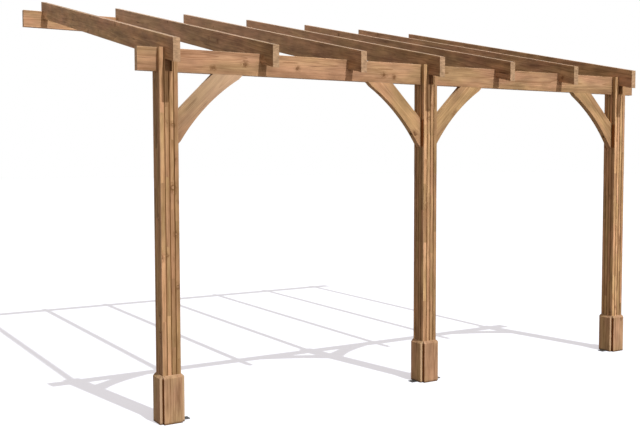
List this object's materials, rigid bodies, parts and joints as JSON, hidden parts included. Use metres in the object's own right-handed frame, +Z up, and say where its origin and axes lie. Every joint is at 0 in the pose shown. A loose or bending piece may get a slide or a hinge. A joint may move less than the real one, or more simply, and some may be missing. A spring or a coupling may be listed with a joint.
{
  "type": "wooden lean-to pergola",
  "caption": "Lean-to timber pergola: grooved posts with skirted feet carry a front beam with curved braces, and sloping rafters run back to a plate on the wall.",
  "frame": {"origin": "middle of the wall plate's back face, where it lies on the wall", "axes": "+X to the right along the wall as seen from the front, +Y into the wall, +Z up"},
  "size_m": [4.37, 3.173, 3.0302],
  "materials": {
    "post_timber": "oiled, grooved",
    "frame_timber": "planed and oiled",
    "skirt_timber": "planed and oiled",
    "foot_steel": "dull grey"
  },
  "bodies": {
    "root": {"left_post": "post_timber", "middle_post": "post_timber", "right_post": "post_timber", "front_beam": "frame_timber", "wall_plate": "frame_timber", "rafter_1": "frame_timber", "rafter_2": "frame_timber", "rafter_3": "frame_timber", "rafter_4": "frame_timber", "rafter_5": "frame_timber", "rafter_6": "frame_timber", "rafter_7": "frame_timber", "left_brace": "frame_timber", "middle_left_brace": "frame_timber", "middle_right_brace": "frame_timber", "right_brace": "frame_timber", "left_post_front_skirt": "skirt_timber", "left_post_back_skirt": "skirt_timber", "left_post_left_skirt": "skirt_timber", "left_post_right_skirt": "skirt_timber", "middle_post_front_skirt": "skirt_timber", "middle_post_back_skirt": "skirt_timber", "middle_post_left_skirt": "skirt_timber", "middle_post_right_skirt": "skirt_timber", "right_post_front_skirt": "skirt_timber", "right_post_back_skirt": "skirt_timber", "right_post_left_skirt": "skirt_timber", "right_post_right_skirt": "skirt_timber", "left_post_foot_angle": "foot_steel", "middle_post_left_foot_angle": "foot_steel", "middle_post_right_foot_angle": "foot_steel", "right_post_foot_angle": "foot_steel"}
  },
  "joints": []
}
